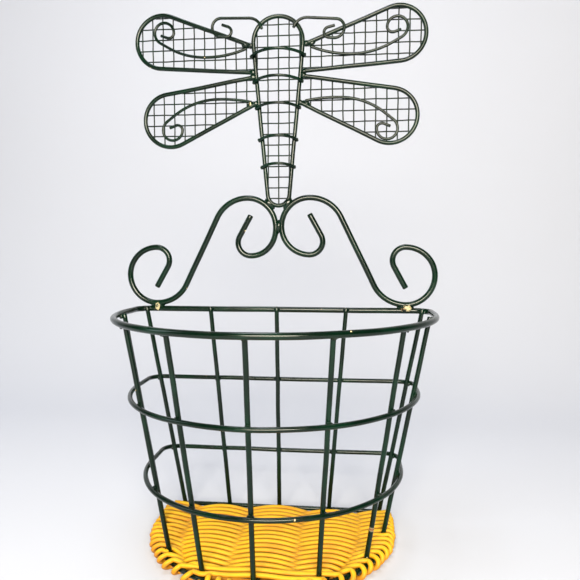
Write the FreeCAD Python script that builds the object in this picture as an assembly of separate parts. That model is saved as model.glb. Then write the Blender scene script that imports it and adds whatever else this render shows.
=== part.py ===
import FreeCAD, Part

import math
import os

from FreeCAD import Vector

# An egg basket of welded, painted steel rod: a flat-backed cage that tapers down to a
# floor woven from round reed, with a pair of scrolls on the back of the rim that carry
# a dragonfly of rod outlines filled with wire mesh.
# Millimetres. +Z is up, +X is to the right and the flat back faces +Y. The origin is
# the middle of the underside of the woven floor. The basket is symmetric about X = 0.

# ---------------------------------------------------------------- rod, wire and reed
RIM_ROD = 3.4            # rim and scrolls
HOOP_ROD = 2.6           # the hoops below the rim
BAR_ROD = 2.6            # upright bars
RIB_ROD = 2.6            # floor ribs that the reed is woven on
OUTLINE_ROD = 2.5        # dragonfly body and wing outlines
TRIM_ROD = 1.7           # swirls, antennae and body bands
MESH_WIRE = 0.8          # square-welded mesh
REED = 2.3               # woven floor
WELD_GAP = 0.15          # film of weld metal between two rods that are welded together
BAND_GAP = 0.3           # between the body bands' slanted ends and the outline
WEAVE_GAP = 0.15         # between the reed and the rods that it lies against
BAR_ROOM = 0.3           # room that the weave leaves round the bars' feet

# ---------------------------------------------------------------- cage
RIM_WIDTH = 177.4        # outside, left to right
RIM_DEPTH = 113.1        # outside, back to front
RIM_HEIGHT = 126.5       # middle of the rim rod
MIDDLE_HOOP_HEIGHT = 84.1
LOWER_HOOP_HEIGHT = 40.0
BASE_WIDTH = 132.4       # outside of the base hoop
BASE_DEPTH = 92.3
CORNER_BEND = 5.5        # inside bend of the two back corners, at the bars' centres
FRONT_BARS = 7           # bars round the curved front
FRONT_BAR_STEP = 27.3    # degrees between them, seen from above
BACK_BAR_AT_RIM = 40.3   # from the middle of the back to the bars beside it
BACK_BAR_AT_BASE = 30.3

# ---------------------------------------------------------------- woven floor
ROW_PAIR_PITCH = 4.75    # a pair is a row of reed to one side and a row back
FLOOR_EDGE_CHAMFER = 1.6
LEAST_WEAVE_SPAN = 12.0  # a row runs straight past a rib that is closer than this to the hoop
ROW_PAST_BARS = 0.3141   # from the bars beside the middle one to the row that passes before them

# ---------------------------------------------------------------- scrolls
CURL_RADIUS = 17.0
SHOULDER_RADIUS = 20.5
SHOULDER_TURN = 64.0     # degrees from level to the straight stretch
SCROLL_STRAIGHT = 45.0
HOOK_RADIUS = 7.8
HOOK_TURN = 119.0
HOOK_TAIL = 14.5

# ---------------------------------------------------------------- dragonfly body
HEAD_RADIUS = 14.7
TAIL_RADIUS = 6.5
BODY_LENGTH = 88.7       # between the middles of the head and tail arcs
BAND_DROPS = (8.2, 23.1, 38.3, 56.8, 72.8)   # bands, below the middle of the head arc
BAND_END_ANGLE = 55.0    # degrees between a band's end and the plane of the back
BAND_RISE = 1.75         # how much higher a band's middle is than its ends

# ---------------------------------------------------------------- dragonfly wings
# Heights are measured up from the middle of the head arc.
UPPER_TOP_ROOT = -2.2
UPPER_BOTTOM_ROOT = -17.2
UPPER_TIP_OUT = 69.8
UPPER_TIP_HEIGHT = 2.4
UPPER_TIP_RADIUS = 15.5
LOWER_TOP_ROOT = -19.6
LOWER_BOTTOM_ROOT = -34.4
LOWER_TIP_OUT = 65.3
LOWER_TIP_HEIGHT = -43.9
LOWER_TIP_RADIUS = 15.7
SWIRL_ROOT = 3.8         # from the body to a swirl's end, along the wing's rod
UPPER_SWIRL_HEADING = -21.0    # degrees up from level where it starts
UPPER_SWIRL_RUNS = (5.8, 4.0)
UPPER_SWIRL_RADII = (65.0, 48.0, 6.8, 5.85, 3.1)
UPPER_SWIRL_TURNS = (21.0, 30.0, 60.0, 180.0, 110.0)
LOWER_SWIRL_HEADING = 12.0
LOWER_SWIRL_RUNS = (6.3, 4.2)
LOWER_SWIRL_RADII = (100.0, 43.0, 6.5, 6.0, 3.0)
LOWER_SWIRL_TURNS = (-12.0, -37.0, -53.0, -180.0, -110.0)

# ---------------------------------------------------------------- antennae
ANTENNA_OUT = 9.2        # inner end, from the middle
ANTENNA_HEIGHT = 7.0     # inner end, above the middle of the head arc
ANTENNA_LEAN = 70.0      # degrees from level where it starts
ANTENNA_RUNS = (1.4, 16.5, 2.7, 4.0)
ANTENNA_RADII = (7.9, 5.2, 5.7, 3.0)
ANTENNA_TURNS = (-68.0, -92.0, -90.0, -160.0)

# ---------------------------------------------------------------- mesh
MESH_PITCH = 6.35
MESH_TOP = 10.8          # top cross wire, above the middle of the head arc
MESH_BODY_GAP = 0.6      # from the middle of the body's rod to a wing's mesh
SHORTEST_MESH_WIRE = 4.0

# ---------------------------------------------------------------- weld beads
RIM_BEAD = 10.0
SCROLL_BEAD = 10.0
TAIL_BEAD = 7.0
BEAD_DEPTH = 2.4         # front to back
BEAD_TOUCH = 0.6         # where a bead's side follows the rod's bend, as a share of half its length
STRAIGHT = 1e9           # radius of the side of a rod that is straight

# Every rod is round. A polygon of the same area stands for its section, and its bends are
# short straight facets that leave the true curve by no more than FACET_SAG.
RIM_SIDES = 8
BAR_SIDES = 6
RIB_SIDES = 8
HOOP_SIDES = 6
BASE_HOOP_SIDES = 8
SCROLL_SIDES = 6
OUTLINE_SIDES = 6
TRIM_SIDES = 6
FACET_SAG = 0.15
FACET_TURN = 22.5        # most degrees that one facet turns

# ---------------------------------------------------------------- derived places
base_height = REED + WEAVE_GAP + HOOP_ROD / 2
rim_top = RIM_HEIGHT + RIM_ROD / 2
floor_thickness = 2 * base_height
bar_foot = base_height - HOOP_ROD / 2
rim_offset = (RIM_ROD + BAR_ROD) / 2 + WELD_GAP + FACET_SAG / 2
hoop_offset = (HOOP_ROD + BAR_ROD) / 2 + WELD_GAP + FACET_SAG / 2
cage_back = BASE_DEPTH / 2 - HOOP_ROD / 2 - hoop_offset
back_plane = cage_back + rim_offset

scroll_foot = RIM_HEIGHT + RIM_ROD + WELD_GAP
shoulder = math.radians(SHOULDER_TURN)
scroll_rise = 2 * SHOULDER_RADIUS * (1 - math.cos(shoulder)) + SCROLL_STRAIGHT * math.sin(shoulder)
scroll_run = 2 * SHOULDER_RADIUS * math.sin(shoulder) + SCROLL_STRAIGHT * math.cos(shoulder)
curl_outside = CURL_RADIUS + RIM_ROD / 2
tail_outside = TAIL_RADIUS + OUTLINE_ROD / 2
curl_out = curl_outside + WELD_GAP / 2
curl_height = scroll_foot + scroll_rise - CURL_RADIUS
scroll_foot_out = curl_out + scroll_run

tail_reach = curl_outside + tail_outside + WELD_GAP
tail_height = curl_height + math.sqrt(tail_reach ** 2 - curl_out ** 2)
head_height = tail_height + BODY_LENGTH
body_taper = math.asin((HEAD_RADIUS - TAIL_RADIUS) / BODY_LENGTH)

mesh_front = back_plane + OUTLINE_ROD / 2 + WELD_GAP
swirl_plane = mesh_front - TRIM_ROD / 2 - WELD_GAP
front_plane = back_plane - (OUTLINE_ROD + TRIM_ROD) / 2 - 2 * WELD_GAP

MITRED = 1               # how a swept section turns a corner
UP = Vector(0, 0, 1)
TO_BACK = Vector(0, 1, 0)
ACROSS = Vector(1, 0, 0)


# ================================================================ rods
def section(centre, along, normal, rod, sides):
    """Polygon of the same area as a round rod, with flats on the two sides away from normal."""
    along = Vector(along).normalize()
    normal = (normal - along * normal.dot(along)).normalize()
    side = along.cross(normal)
    step = 2 * math.pi / sides
    radius = rod / 2 * math.sqrt(step / math.sin(step))
    first = step / 2 if sides % 4 == 0 else 0
    corners = []
    for k in range(sides):
        angle = first + k * step
        corners.append(centre + normal * (radius * math.cos(angle)) + side * (radius * math.sin(angle)))
    return Part.makePolygon(corners + corners[:1])


def straight_rod(start, end, normal, rod, sides):
    outline = section(start, end - start, normal, rod, sides)
    return Part.Face(outline).extrude(end - start)


def square_room(start, end, normal, width):
    """Square hole of a stated width, as long as the straight stretch from start to end."""
    return straight_rod(start, end, normal, width * 2 / math.sqrt(math.pi), 4)


def facet_count(edge):
    """How many straight facets stand for an edge: one, or an even number on an arc."""
    if edge.Curve.TypeId == "Part::GeomLine":
        return 1
    radius = edge.Curve.Radius
    widest = min(2 * math.acos(1 - FACET_SAG / radius), math.radians(FACET_TURN))
    return 2 * math.ceil(edge.Length / radius / widest / 2)


def faceted(path):
    """Corners of the facets that stand for the edges of a path."""
    corners = [path[0].valueAt(path[0].FirstParameter)]
    for edge in path:
        count = facet_count(edge)
        step = (edge.LastParameter - edge.FirstParameter) / count
        for k in range(1, count + 1):
            corners.append(edge.valueAt(edge.FirstParameter + k * step))
    return corners


def bent_rod(path, normal, rod, sides):
    """A rod along the edges of a flat path square to normal, mitred where its facets meet."""
    corners = faceted(path)
    profile = section(corners[0], corners[1] - corners[0], normal, rod, sides)
    return Part.makePolygon(corners).makePipeShell([profile], True, False, MITRED)


def heading_vector(degrees):
    """Direction in the plane of the back, counted up from +X."""
    return Vector(math.cos(math.radians(degrees)), 0, math.sin(math.radians(degrees)))


def run(length):
    return ("run", length, 0)


def bend(radius, turn):
    return ("bend", radius, turn)


def bending_path(start, heading, moves):
    """Edges of a path of runs and bends in a plane parallel to the back."""
    edges = []
    point = start
    for kind, size, turn in moves:
        if kind == "run":
            end = point + heading_vector(heading) * size
            edges.append(Part.LineSegment(point, end).toShape())
        else:
            side = math.copysign(1, turn)
            centre = point + heading_vector(heading + 90 * side) * size
            middle = centre + heading_vector(heading + turn / 2 - 90 * side) * size
            end = centre + heading_vector(heading + turn - 90 * side) * size
            edges.append(Part.Arc(point, middle, end).toShape())
            heading += turn
        point = end
    return edges


def mirrored(shape):
    return shape.mirror(Vector(0, 0, 0), ACROSS)


# ================================================================ cage
def at_height(base_value, rim_value, height):
    """A size that changes evenly from the base hoop to the rim."""
    return base_value + (rim_value - base_value) * (height - base_height) / (RIM_HEIGHT - base_height)


def cage_size(height):
    """Half width and front of the surface that the bars' centres lie on."""
    rim_half = (RIM_WIDTH - RIM_ROD) / 2 - rim_offset
    base_half = (BASE_WIDTH - HOOP_ROD) / 2 - hoop_offset
    rim_front = back_plane + RIM_ROD - RIM_DEPTH + rim_offset
    base_front = (HOOP_ROD - BASE_DEPTH) / 2 + hoop_offset
    return at_height(base_half, rim_half, height), at_height(base_front, rim_front, height)


def d_path(height, offset):
    """D-shaped path that lies outside the bars' centres by offset: flat back, round front."""
    half_width, front = cage_size(height)
    half_width += offset
    front -= offset
    back = cage_back + offset
    bend_radius = CORNER_BEND + offset
    corner = half_width - bend_radius
    diagonal = bend_radius * math.sqrt(0.5)
    front_centre = front + half_width
    middle_back = Vector(0, back, height)
    right_start = Vector(corner, back, height)
    right_middle = Vector(corner + diagonal, back - bend_radius + diagonal, height)
    right_end = Vector(half_width, back - bend_radius, height)
    right_front = Vector(half_width, front_centre, height)
    left_front = Vector(-half_width, front_centre, height)
    left_end = Vector(-half_width, back - bend_radius, height)
    left_middle = Vector(-corner - diagonal, back - bend_radius + diagonal, height)
    left_start = Vector(-corner, back, height)
    return [
        Part.LineSegment(middle_back, right_start).toShape(),
        Part.Arc(right_start, right_middle, right_end).toShape(),
        Part.LineSegment(right_end, right_front).toShape(),
        Part.Arc(right_front, Vector(0, front, height), left_front).toShape(),
        Part.LineSegment(left_front, left_end).toShape(),
        Part.Arc(left_end, left_middle, left_start).toShape(),
        Part.LineSegment(left_start, middle_back).toShape(),
    ]


def rim():
    return bent_rod(d_path(RIM_HEIGHT, rim_offset), UP, RIM_ROD, RIM_SIDES)


def hoop(height, sides):
    return bent_rod(d_path(height, hoop_offset), UP, HOOP_ROD, sides)


def front_bar_angle(number):
    """How far round from the middle of the front a bar stands."""
    return math.radians((number - (FRONT_BARS - 1) / 2) * FRONT_BAR_STEP)


def front_bar_point(number, height):
    half_width, front = cage_size(height)
    angle = front_bar_angle(number)
    front_centre = front + half_width
    return Vector(half_width * math.sin(angle), front_centre - half_width * math.cos(angle), height)


def corner_bar_point(side, height):
    half_width = cage_size(height)[0]
    inset = CORNER_BEND * (1 - math.sqrt(0.5))
    return Vector(side * (half_width - inset), cage_back - inset, height)


def back_bar_point(side, height):
    return Vector(side * at_height(BACK_BAR_AT_BASE, BACK_BAR_AT_RIM, height), cage_back, height)


def bars():
    """Name, foot, top and sideways direction of each upright bar, inside all four hoops."""
    listed = []
    for number in range(FRONT_BARS):
        foot = front_bar_point(number, bar_foot)
        top = front_bar_point(number, rim_top)
        angle = front_bar_angle(number)
        sideways = Vector(math.cos(angle), math.sin(angle), 0)
        listed.append((f"front_bar_{number + 1}", foot, top, sideways))
    for side, name in ((-1, "left"), (1, "right")):
        foot = corner_bar_point(side, bar_foot)
        top = corner_bar_point(side, rim_top)
        listed.append((f"corner_bar_{name}", foot, top, Vector(1, -side, 0)))
    for side, name in ((-1, "left"), (0, "middle"), (1, "right")):
        foot = back_bar_point(side, bar_foot)
        top = back_bar_point(side, rim_top)
        listed.append((f"back_bar_{name}", foot, top, ACROSS))
    return listed


# ================================================================ woven floor
def ribs():
    """Name, back end and front end of the three ribs of the floor, level with its hoop."""
    half_width, front = cage_size(base_height)
    seat = HOOP_ROD / 2 + WELD_GAP
    inner_radius = half_width + hoop_offset - seat
    front_centre = front + half_width
    bar_seat = BAR_ROD / 2 + WELD_GAP
    listed = [(
        "floor_rib_middle",
        Vector(0, cage_back - bar_seat, base_height),
        Vector(0, front + bar_seat, base_height),
    )]
    beside_bar = back_bar_point(1, base_height).x + (BAR_ROD + RIB_ROD) / 2 + 2 * WELD_GAP
    outer_edge = beside_bar + RIB_ROD / 2
    front_end = front_centre - math.sqrt(inner_radius ** 2 - outer_edge ** 2)
    back_end = cage_back + hoop_offset - seat
    for side, name in ((-1, "left"), (1, "right")):
        listed.append((
            f"floor_rib_{name}",
            Vector(side * beside_bar, back_end, base_height),
            Vector(side * beside_bar, front_end, base_height),
        ))
    return listed


def d_plate(offset, half_thickness):
    """Plate outside the bars' centres by offset, to both sides of the base hoop's middle."""
    outline = Part.makePolygon(faceted(d_path(base_height, offset)))
    outline.translate(UP * -half_thickness)
    return Part.Face(outline).extrude(UP * 2 * half_thickness)


def hoop_inside(y):
    """How far from X = 0 the base hoop's inner side is, at a place between front and back."""
    half_width, front = cage_size(base_height)
    front_centre = front + half_width
    corner_centre = cage_back - CORNER_BEND
    inward = hoop_offset - HOOP_ROD / 2
    radius = half_width + inward
    corner_bend = CORNER_BEND + inward
    if y > corner_centre:
        return radius - corner_bend + math.sqrt(corner_bend ** 2 - (y - corner_centre) ** 2)
    if y < front_centre:
        return math.sqrt(max(radius ** 2 - (front_centre - y) ** 2, 0))
    return radius


def reed_row(back_edge, side):
    """One row of reed, above the hoop (side 1) or below it (side -1), with its ends uncut."""
    near = min(hoop_inside(back_edge), hoop_inside(back_edge - REED))
    far = BASE_WIDTH / 2 + 2 * REED
    hoop_seat = HOOP_ROD / 2 + WEAVE_GAP + REED / 2
    rib_seat = RIB_ROD / 2 + WEAVE_GAP + REED / 2
    rib_out = ribs()[2][1].x + RIB_ROD / 4
    right = [(RIB_ROD / 2, rib_seat), (near, hoop_seat), (far, hoop_seat)]
    if near - rib_out > LEAST_WEAVE_SPAN:
        right.insert(1, (rib_out, -rib_seat))
    line = [(-x, z) for x, z in right[::-1]] + right
    middle = [Vector(x, back_edge, base_height + side * z) for x, z in line]
    top = [point + UP * (REED / 2) for point in middle]
    bottom = [point - UP * (REED / 2) for point in middle]
    outline = top + bottom[::-1]
    return Part.Face(Part.makePolygon(outline + outline[:1])).extrude(TO_BACK * -REED)


def woven_floor():
    """Mat of reed: rows over and under the ribs, joined by loops outside the base hoop."""
    front = cage_size(base_height)[1]
    back_edge = cage_back - BAR_ROD / 2 - WEAVE_GAP
    front_edge = front - hoop_offset + HOOP_ROD / 2 + WEAVE_GAP
    passing_edge = front_bar_point(FRONT_BARS // 2 + 1, base_height).y - ROW_PAST_BARS
    pairs_behind = math.floor((back_edge - passing_edge) / ROW_PAIR_PITCH)
    pairs_before = math.floor((passing_edge - front_edge) / ROW_PAIR_PITCH)
    rows = []
    for pair in range(-pairs_behind, pairs_before):
        edge = passing_edge - pair * ROW_PAIR_PITCH
        rows.append(reed_row(edge, 1))
        rows.append(reed_row(edge - REED, -1))
    inner = hoop_offset + HOOP_ROD / 2 + WEAVE_GAP
    mat = d_plate(inner + REED, base_height)
    limits = d_plate(inner + REED, base_height)
    level_edges = [edge for edge in limits.Edges if edge.BoundBox.ZLength < base_height]
    limits = limits.makeChamfer(FLOOR_EDGE_CHAMFER, level_edges)
    loops = d_plate(inner + REED, HOOP_ROD / 2 + WEAVE_GAP).cut(d_plate(inner, base_height))
    last_edge = passing_edge + pairs_behind * ROW_PAIR_PITCH
    behind = Part.makeBox(2 * BASE_WIDTH, BASE_DEPTH, floor_thickness, Vector(-BASE_WIDTH, last_edge, 0))
    mat = rows[0].multiFuse(rows[1:]).common(limits).fuse(loops.cut(behind))
    rooms = []
    for _, foot, top, sideways in bars():
        along = (top - foot).normalize()
        start = foot - along * BAR_ROOM
        end = foot + along * floor_thickness
        rooms.append(square_room(start, end, sideways, BAR_ROD + 2 * BAR_ROOM))
    return mat.cut(rooms[0].multiFuse(rooms[1:])).removeSplitter()


# ================================================================ scrolls
def scroll():
    """Right-hand scroll: a curl at each end of an S, each closed by a small hook."""
    moves = [
        run(HOOK_TAIL),
        bend(HOOK_RADIUS, -HOOK_TURN),
        bend(CURL_RADIUS, -180),
        bend(SHOULDER_RADIUS, -SHOULDER_TURN),
        run(SCROLL_STRAIGHT),
        bend(SHOULDER_RADIUS, SHOULDER_TURN),
        bend(CURL_RADIUS, 180),
        bend(HOOK_RADIUS, HOOK_TURN),
        run(HOOK_TAIL),
    ]
    path = bending_path(Vector(0, back_plane, 0), HOOK_TURN - 180, moves)
    inner_curl = path[2]
    top = inner_curl.valueAt(inner_curl.LastParameter)
    rod = bent_rod(path, TO_BACK, RIM_ROD, SCROLL_SIDES)
    rod.translate(Vector(curl_out, back_plane, curl_height + CURL_RADIUS) - top)
    return rod


# ================================================================ dragonfly body
def body_edge(height):
    """How far the middle of the body's rod is from X = 0 on its straight side."""
    below_head = head_height - height
    return (HEAD_RADIUS - below_head * math.sin(body_taper)) / math.cos(body_taper)


def body_path():
    side = Vector(math.cos(body_taper), 0, -math.sin(body_taper))
    head = Vector(0, back_plane, head_height)
    tail = Vector(0, back_plane, tail_height)
    right_top = head + side * HEAD_RADIUS
    right_bottom = tail + side * TAIL_RADIUS
    right_middle = (right_top + right_bottom) * 0.5
    left_top = Vector(-right_top.x, right_top.y, right_top.z)
    left_bottom = Vector(-right_bottom.x, right_bottom.y, right_bottom.z)
    return [
        Part.LineSegment(right_middle, right_top).toShape(),
        Part.Arc(right_top, head + UP * HEAD_RADIUS, left_top).toShape(),
        Part.LineSegment(left_top, left_bottom).toShape(),
        Part.Arc(left_bottom, tail - UP * TAIL_RADIUS, right_bottom).toShape(),
        Part.LineSegment(right_bottom, right_middle).toShape(),
    ]


def body_band(drop):
    """Hoop bowed forward across the body, its ends against the outline's front corners."""
    height = head_height - drop
    angle = math.radians(BAND_END_ANGLE)
    seat = (OUTLINE_ROD + TRIM_ROD) / 2 + BAND_GAP
    half_span = body_edge(height) + seat * math.sin(angle)
    end_plane = back_plane - seat * math.cos(angle)
    bow = half_span * math.tan(angle / 2)
    left = Vector(-half_span, end_plane, height)
    middle = Vector(0, end_plane - bow, height + BAND_RISE)
    right = Vector(half_span, end_plane, height)
    arc = Part.Arc(left, middle, right).toShape()
    square_to_arc = (middle - left).cross(right - middle)
    return bent_rod([arc], square_to_arc, TRIM_ROD, TRIM_SIDES)


def antenna():
    """Right-hand antenna: up over the head, level outwards, and a curl at its end."""
    rise, level, drop, tail = ANTENNA_RUNS
    knee, shoulder_bend, curl, tip = [bend(*size) for size in zip(ANTENNA_RADII, ANTENNA_TURNS)]
    moves = [run(rise), knee, run(level), shoulder_bend, curl, run(drop), tip, run(tail)]
    start = Vector(ANTENNA_OUT, front_plane, head_height + ANTENNA_HEIGHT)
    return bent_rod(bending_path(start, ANTENNA_LEAN, moves), TO_BACK, TRIM_ROD, TRIM_SIDES)


# ================================================================ dragonfly wings
def swirl_moves(radii, turns, runs):
    """A long double bend, a short straight, and a curl that ends in a small hook."""
    bends = [bend(radius, turn) for radius, turn in zip(radii, turns)]
    return bends[:2] + [run(runs[0])] + bends[2:] + [run(runs[1])]


class Wing:
    """One right-hand wing: two straight rods from the body that meet in a round tip."""

    def __init__(self, top_root, bottom_root, tip_out, tip_height, tip_radius):
        self.tip = Vector(tip_out, back_plane, head_height + tip_height)
        self.radius = tip_radius
        self.top_edge = self.on_body(top_root)
        self.bottom_edge = self.on_body(bottom_root)
        self.top_touch = self.touch(self.top_edge, 1)
        self.bottom_touch = self.touch(self.bottom_edge, -1)
        self.top_along = (self.top_touch - self.top_edge).normalize()
        self.bottom_along = (self.bottom_touch - self.bottom_edge).normalize()

    def on_body(self, root):
        height = head_height + root
        return Vector(body_edge(height), back_plane, height)

    def touch(self, root, side):
        """Where the straight rod from root runs into the tip's arc."""
        line = self.tip - root
        slope = math.degrees(math.atan2(line.z, line.x))
        spread = math.degrees(math.asin(self.radius / line.Length))
        return self.tip + heading_vector(slope + side * (spread + 90)) * self.radius

    def clear_of_body(self, edge, along):
        """Start of a rod whose end just clears the side of the body's rod."""
        outward = Vector(math.cos(body_taper), 0, -math.sin(body_taper))
        facing = along.dot(outward)
        slant = math.sqrt(1 - facing ** 2)
        return edge + along * ((OUTLINE_ROD / 2 * (1 + slant) + 2 * WELD_GAP) / facing)

    def path(self):
        top = self.clear_of_body(self.top_edge, self.top_along)
        bottom = self.clear_of_body(self.bottom_edge, self.bottom_along)
        far = self.tip + (self.tip - (self.top_edge + self.bottom_edge) * 0.5).normalize() * self.radius
        return [
            Part.LineSegment(top, self.top_touch).toShape(),
            Part.Arc(self.top_touch, far, self.bottom_touch).toShape(),
            Part.LineSegment(self.bottom_touch, bottom).toShape(),
        ]

    def outline(self):
        return bent_rod(self.path(), TO_BACK, OUTLINE_ROD, OUTLINE_SIDES)

    def swirl(self, edge, along, inward, heading, moves):
        """Swirl that starts against the inner side of one of the wing's rods."""
        seat = (OUTLINE_ROD + TRIM_ROD) / 2 + WELD_GAP
        start = edge + along * SWIRL_ROOT + inward * seat
        start.y = swirl_plane
        return bent_rod(bending_path(start, heading, moves), TO_BACK, TRIM_ROD, TRIM_SIDES)

    def mesh_area(self):
        """Area of the wing's mesh: out to the middle of its rods, and clear of the body's."""
        outward = Vector(math.cos(body_taper), 0, -math.sin(body_taper))
        top = self.top_edge + outward * MESH_BODY_GAP
        bottom = self.bottom_edge + outward * MESH_BODY_GAP
        edges = self.path()
        edges[0] = Part.LineSegment(top, self.top_touch).toShape()
        edges[2] = Part.LineSegment(self.bottom_touch, bottom).toShape()
        edges.append(Part.LineSegment(bottom, top).toShape())
        return Part.Face(Part.Wire(edges))

    def upper_swirl(self):
        moves = swirl_moves(UPPER_SWIRL_RADII, UPPER_SWIRL_TURNS, UPPER_SWIRL_RUNS)
        inward = self.top_along.cross(TO_BACK) * -1
        return self.swirl(self.top_edge, self.top_along, inward, UPPER_SWIRL_HEADING, moves)

    def lower_swirl(self):
        moves = swirl_moves(LOWER_SWIRL_RADII, LOWER_SWIRL_TURNS, LOWER_SWIRL_RUNS)
        inward = self.bottom_along.cross(TO_BACK)
        return self.swirl(self.bottom_edge, self.bottom_along, inward, LOWER_SWIRL_HEADING, moves)


# ================================================================ mesh
def clipped(line, area):
    """Low end and length of each stretch of a line that lies inside an area."""
    stretches = []
    for edge in line.toShape().common(area).Edges:
        if edge.Length > SHORTEST_MESH_WIRE:
            box = edge.BoundBox
            stretches.append((Vector(box.XMin, box.YMin, box.ZMin), edge.Length))
    return stretches


def mesh_panel(area):
    """Square mesh cut to an area: cross wires welded behind upright wires, on one grid."""
    box = area.BoundBox
    top_wire = head_height + MESH_TOP
    half = MESH_WIRE / 2
    wires = []
    for column in range(math.ceil(box.XMin / MESH_PITCH), math.floor(box.XMax / MESH_PITCH) + 1):
        x = column * MESH_PITCH
        line = Part.LineSegment(Vector(x, back_plane, box.ZMin - 1), Vector(x, back_plane, box.ZMax + 1))
        for low, length in clipped(line, area):
            corner = Vector(x - half, mesh_front, low.z)
            wires.append(Part.makeBox(MESH_WIRE, MESH_WIRE, length, corner))
    first_row = math.ceil((top_wire - box.ZMax) / MESH_PITCH)
    last_row = math.floor((top_wire - box.ZMin) / MESH_PITCH)
    for row in range(first_row, last_row + 1):
        z = top_wire - row * MESH_PITCH
        line = Part.LineSegment(Vector(box.XMin - 1, back_plane, z), Vector(box.XMax + 1, back_plane, z))
        for low, length in clipped(line, area):
            corner = Vector(low.x, mesh_front + MESH_WIRE, z - half)
            wires.append(Part.makeBox(length, MESH_WIRE, MESH_WIRE, corner))
    grid = wires[0].multiFuse(wires[1:]).removeSplitter()
    return max(grid.Solids, key=lambda solid: solid.Volume)


# ================================================================ weld beads
def bead_side(curve, length):
    """Along and away from the narrowest place, points that stay clear of a rod's curved side."""
    end = length / 2
    touch = BEAD_TOUCH * end
    slope = touch / curve
    waist = touch / 2
    return [(-end, slope * (end - waist)), (-waist, 0), (waist, 0), (end, slope * (end - waist))]


def weld_bead(middle, towards, length, first_curve, second_curve):
    """Weld metal in the narrow place between two rods that meet side by side."""
    along = towards.cross(TO_BACK)
    front = middle - TO_BACK * (BEAD_DEPTH / 2)
    first = [front + along * s - towards * (WELD_GAP / 2 + w) for s, w in bead_side(first_curve, length)]
    second = [front + along * s + towards * (WELD_GAP / 2 + w) for s, w in bead_side(second_curve, length)]
    outline = first + second[::-1]
    return Part.Face(Part.makePolygon(outline + outline[:1])).extrude(TO_BACK * BEAD_DEPTH)


# ================================================================ all the pieces
def save(name, shape):
    shape.exportStep(f"parts/{name}.step")


def save_pair(name, right_shape):
    save(f"{name}_right", right_shape)
    save(f"{name}_left", mirrored(right_shape))


def build_cage():
    save("rim", rim())
    save("middle_hoop", hoop(MIDDLE_HOOP_HEIGHT, HOOP_SIDES))
    save("lower_hoop", hoop(LOWER_HOOP_HEIGHT, HOOP_SIDES))
    save("base_hoop", hoop(base_height, BASE_HOOP_SIDES))
    for name, foot, top, sideways in bars():
        save(name, straight_rod(foot, top, sideways, BAR_ROD, BAR_SIDES))
    for name, back_end, front_end in ribs():
        save(name, straight_rod(back_end, front_end, UP, RIB_ROD, RIB_SIDES))
    save("woven_floor", woven_floor())


def build_scrolls():
    save_pair("scroll", scroll())
    rim_spot = Vector(scroll_foot_out, back_plane, rim_top + WELD_GAP / 2)
    save_pair("rim_bead", weld_bead(rim_spot, UP, RIM_BEAD, STRAIGHT, curl_outside))
    meeting_spot = Vector(0, back_plane, curl_height)
    save("scroll_bead", weld_bead(meeting_spot, ACROSS, SCROLL_BEAD, curl_outside, curl_outside))


def build_body():
    save("body_outline", bent_rod(body_path(), TO_BACK, OUTLINE_ROD, OUTLINE_SIDES))
    save("body_mesh", mesh_panel(Part.Face(Part.Wire(body_path()))))
    for number, drop in enumerate(BAND_DROPS):
        save(f"body_band_{number + 1}", body_band(drop))
    save_pair("antenna", antenna())
    curl = Vector(curl_out, back_plane, curl_height)
    towards_tail = (Vector(0, back_plane, tail_height) - curl).normalize()
    tail_spot = curl + towards_tail * curl_out
    save_pair("tail_bead", weld_bead(tail_spot, towards_tail, TAIL_BEAD, curl_outside, tail_outside))


def build_wings():
    upper = Wing(UPPER_TOP_ROOT, UPPER_BOTTOM_ROOT, UPPER_TIP_OUT, UPPER_TIP_HEIGHT, UPPER_TIP_RADIUS)
    lower = Wing(LOWER_TOP_ROOT, LOWER_BOTTOM_ROOT, LOWER_TIP_OUT, LOWER_TIP_HEIGHT, LOWER_TIP_RADIUS)
    save_pair("upper_swirl", upper.upper_swirl())
    save_pair("lower_swirl", lower.lower_swirl())
    for name, wing in (("upper", upper), ("lower", lower)):
        save_pair(f"{name}_wing_outline", wing.outline())
        save_pair(f"{name}_wing_mesh", mesh_panel(wing.mesh_area()))


os.makedirs("parts", exist_ok=True)
build_cage()
build_scrolls()
build_body()
build_wings()
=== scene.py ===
"""Egg basket with a woven floor and a dragonfly: round rods, weld metal, mesh and reed over its frame.

Lengths in the settings are metres. The functions that lay out rods work in millimetres, as on a maker's
drawing, and `Piece.finish` turns them into metres. X runs to the right seen from the round front,
Y towards the flat back and Z up.
"""

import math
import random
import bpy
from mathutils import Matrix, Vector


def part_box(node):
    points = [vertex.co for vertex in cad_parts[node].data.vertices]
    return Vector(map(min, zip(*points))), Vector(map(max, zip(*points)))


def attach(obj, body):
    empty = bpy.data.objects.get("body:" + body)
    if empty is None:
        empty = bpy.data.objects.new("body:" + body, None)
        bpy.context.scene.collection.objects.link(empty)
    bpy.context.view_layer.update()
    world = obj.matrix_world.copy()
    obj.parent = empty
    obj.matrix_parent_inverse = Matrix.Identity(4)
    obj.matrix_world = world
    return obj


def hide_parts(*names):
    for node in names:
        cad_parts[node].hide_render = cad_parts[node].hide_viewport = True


bl_info = {
    "name": "Egg basket with dragonfly",
    "version": (1, 0, 0),
    "blender": (4, 5, 0),
    "location": "3D View > Sidebar > Egg Basket",
    "description": "Dresses the welded frame of an egg basket with painted rod, weld metal and woven reed",
    "category": "Object",
}

import bpy
from bpy.props import FloatProperty, FloatVectorProperty, PointerProperty
from mathutils import Matrix, Vector, noise

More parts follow.
